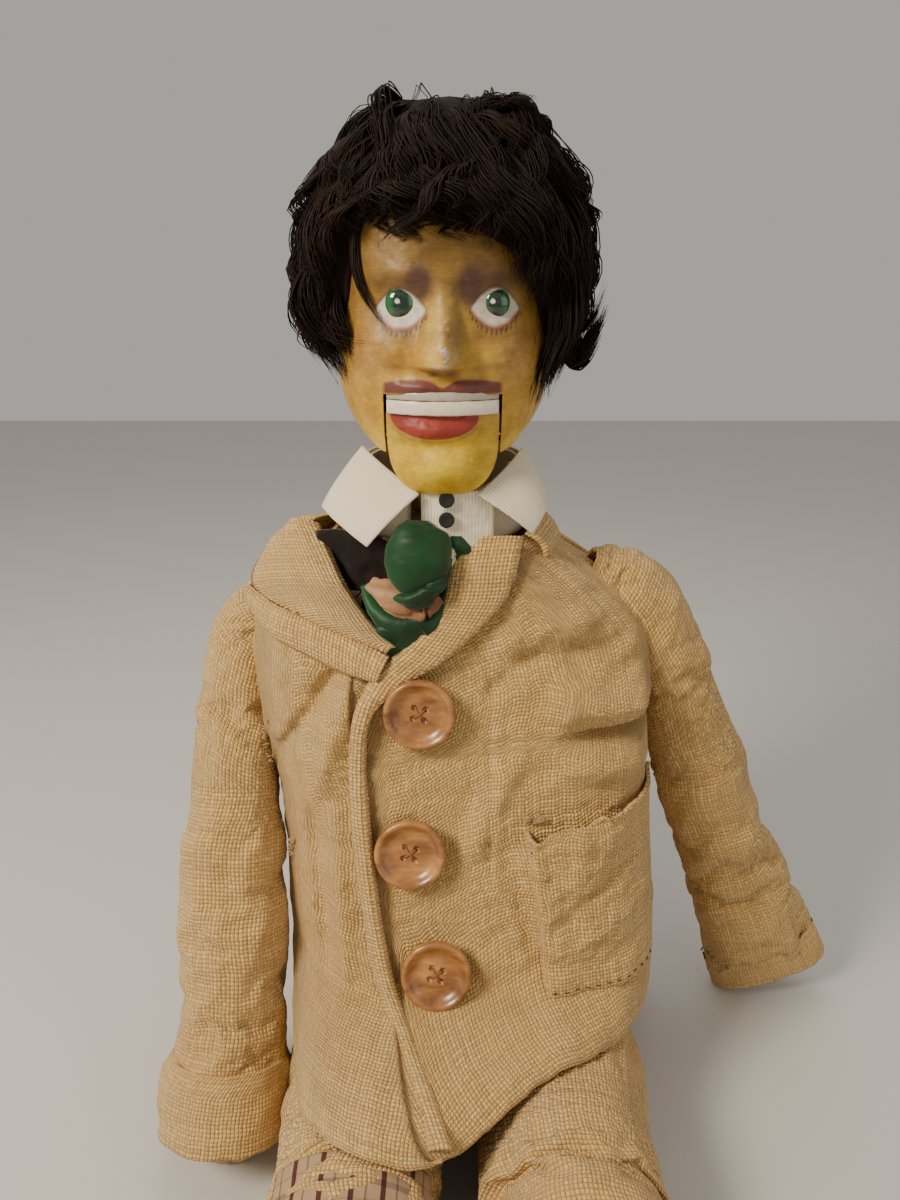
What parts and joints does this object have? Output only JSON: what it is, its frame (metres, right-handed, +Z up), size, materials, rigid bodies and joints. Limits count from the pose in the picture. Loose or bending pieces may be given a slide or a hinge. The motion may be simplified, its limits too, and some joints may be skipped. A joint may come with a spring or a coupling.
{
  "type": "ventriloquist dummy",
  "caption": "Seated ventriloquist dummy in a tweed jacket, with a painted head, a jaw worked by a cord and trigger, and loose arms and legs.",
  "frame": {"origin": "on the flat underside of the trouser seat, straight below the centre of the neck", "axes": "+Z up through the neck and head, -Y the way the dummy faces, +X towards the dummy's left hand"},
  "size_m": [0.4837, 0.58, 0.636],
  "materials": {
    "painted_head": "satin",
    "varnished_wood": "satin",
    "plain_wood": "matte",
    "glass_eye": "gloss",
    "wig_hair": "satin",
    "tooth_paint": "satin",
    "steel": "satin",
    "cord": "matte",
    "leather_lining": "matte",
    "shirt_cotton": "matte",
    "black_button": "satin",
    "silk": "satin",
    "tweed": "matte",
    "horn": "satin",
    "painted_hand": "satin",
    "sock_knit": "matte",
    "shoe_leather": "satin",
    "sole_leather": "matte"
  },
  "bodies": {
    "torso": {"body_front": "plain_wood", "body_back": "plain_wood", "body_side_right": "plain_wood", "body_side_left": "plain_wood", "shoulder_board": "plain_wood", "seat_board": "plain_wood", "neck_cup": "varnished_wood", "shoulder_eye_right": "steel", "shoulder_eye_left": "steel", "shirt_front": "shirt_cotton", "shirt_collar": "shirt_cotton", "shirt_button": "black_button", "cravat": "silk", "jacket_front_left": "tweed", "jacket_front_right": "tweed", "jacket_back": "tweed", "jacket_collar": "tweed", "lapel_left": "tweed", "jacket_pocket": "tweed", "coat_button_top": "horn", "coat_button_middle": "horn", "coat_button_bottom": "horn", "trouser_seat": "tweed"},
    "neck_ring": {"neck_lining": "leather_lining"},
    "head": {"head_shell": "painted_head", "head_back_cover": "varnished_wood", "eye_right": "glass_eye", "eye_left": "glass_eye", "wig": "wig_hair", "neck": "varnished_wood", "headstick": "plain_wood", "upper_tooth_strip": "tooth_paint", "jaw_axle": "steel", "jaw_return_spring": "steel", "trigger_pin": "steel", "cord_guide_eye": "steel"},
    "jaw": {"jaw": "painted_head", "lower_tooth_bar": "tooth_paint"},
    "trigger": {"jaw_trigger": "plain_wood"},
    "pull_cord": {"jaw_cord": "cord"},
    "upper_arm_right_body": {"sleeve_upper_right": "tweed", "upper_arm_right": "plain_wood"},
    "forearm_right_body": {"sleeve_lower_right": "tweed", "sleeve_cuff_right": "tweed", "hand_right": "painted_hand"},
    "thigh_right_body": {"trouser_thigh_right": "tweed"},
    "shin_right_body": {"trouser_shin_right": "tweed", "sock_right": "sock_knit", "shoe_right": "shoe_leather", "shoe_sole_right": "sole_leather"},
    "upper_arm_left_body": {"sleeve_upper_left": "tweed", "upper_arm_left": "plain_wood"},
    "forearm_left_body": {"sleeve_lower_left": "tweed", "sleeve_cuff_left": "tweed", "hand_left": "painted_hand"},
    "thigh_left_body": {"trouser_thigh_left": "tweed"},
    "shin_left_body": {"trouser_shin_left": "tweed", "sock_left": "sock_knit", "shoe_left": "shoe_leather", "shoe_sole_left": "sole_leather"}
  },
  "joints": [
    {"name": "head_turn", "type": "hinge", "parent": "torso", "child": "neck_ring", "pos_m": [0, 0, 0.384], "axis": [0, 0, 1], "range_deg": [-50, 50]},
    {"name": "head_nod", "type": "hinge", "parent": "neck_ring", "child": "head", "pos_m": [0, 0, 0.384], "axis": [1, 0, 0], "range_deg": [-10, 8]},
    {"name": "jaw_open", "type": "hinge", "parent": "head", "child": "jaw", "pos_m": [0, 0, 0.505], "axis": [1, 0, 0], "range_deg": [0, 12], "stiffness_Nm_per_rad": 0.5, "springref_deg": -11.46, "deforming": ["jaw_return_spring"]},
    {"name": "trigger_pull", "type": "hinge", "parent": "head", "child": "trigger", "pos_m": [0, -0.006, 0.246], "axis": [1, 0, 0], "range_deg": [0, 20.1]},
    {"name": "cord_pull", "type": "slide", "parent": "head", "child": "pull_cord", "axis": [0, 0, -1], "range_m": [0, 0.0032]},
    {"name": "shoulder_right", "type": "hinge", "parent": "torso", "child": "upper_arm_right_body", "pos_m": [-0.136, -0.01, 0.322], "axis": [-1, 0, 0], "range_deg": [-35, 110]},
    {"name": "elbow_right", "type": "hinge", "parent": "upper_arm_right_body", "child": "forearm_right_body", "pos_m": [-0.13929, -0.07157, 0.17724], "axis": [-0.9998, 0.0082, 0.0192], "range_deg": [0, 100]},
    {"name": "shoulder_left", "type": "hinge", "parent": "torso", "child": "upper_arm_left_body", "pos_m": [0.13, -0.01, 0.346], "axis": [-1, 0, 0], "range_deg": [-30, 120]},
    {"name": "elbow_left", "type": "hinge", "parent": "upper_arm_left_body", "child": "forearm_left_body", "pos_m": [0.19204, 0.00175, 0.19372], "axis": [-0.9265, 0.029, -0.3752], "range_deg": [0, 100]},
    {"name": "hip_right", "type": "hinge", "parent": "torso", "child": "thigh_right_body", "pos_m": [-0.05, -0.06, 0.052], "axis": [1, 0, 0], "range_deg": [-6, 90]},
    {"name": "knee_right", "type": "hinge", "parent": "thigh_right_body", "child": "shin_right_body", "pos_m": [-0.05, -0.238, 0.052], "axis": [1, 0, 0], "range_deg": [0, 100]},
    {"name": "hip_left", "type": "hinge", "parent": "torso", "child": "thigh_left_body", "pos_m": [0.075, -0.06, 0.052], "axis": [1, 0, 0], "range_deg": [-6, 90]},
    {"name": "knee_left", "type": "hinge", "parent": "thigh_left_body", "child": "shin_left_body", "pos_m": [0.075, -0.238, 0.052], "axis": [1, 0, 0], "range_deg": [0, 100]}
  ],
  "couplings": [
    {"joint": "trigger_pull", "follows": "jaw_open", "ratio": 1.667},
    {"joint": "cord_pull", "follows": "jaw_open", "m_per_rad": 0.015}
  ]
}
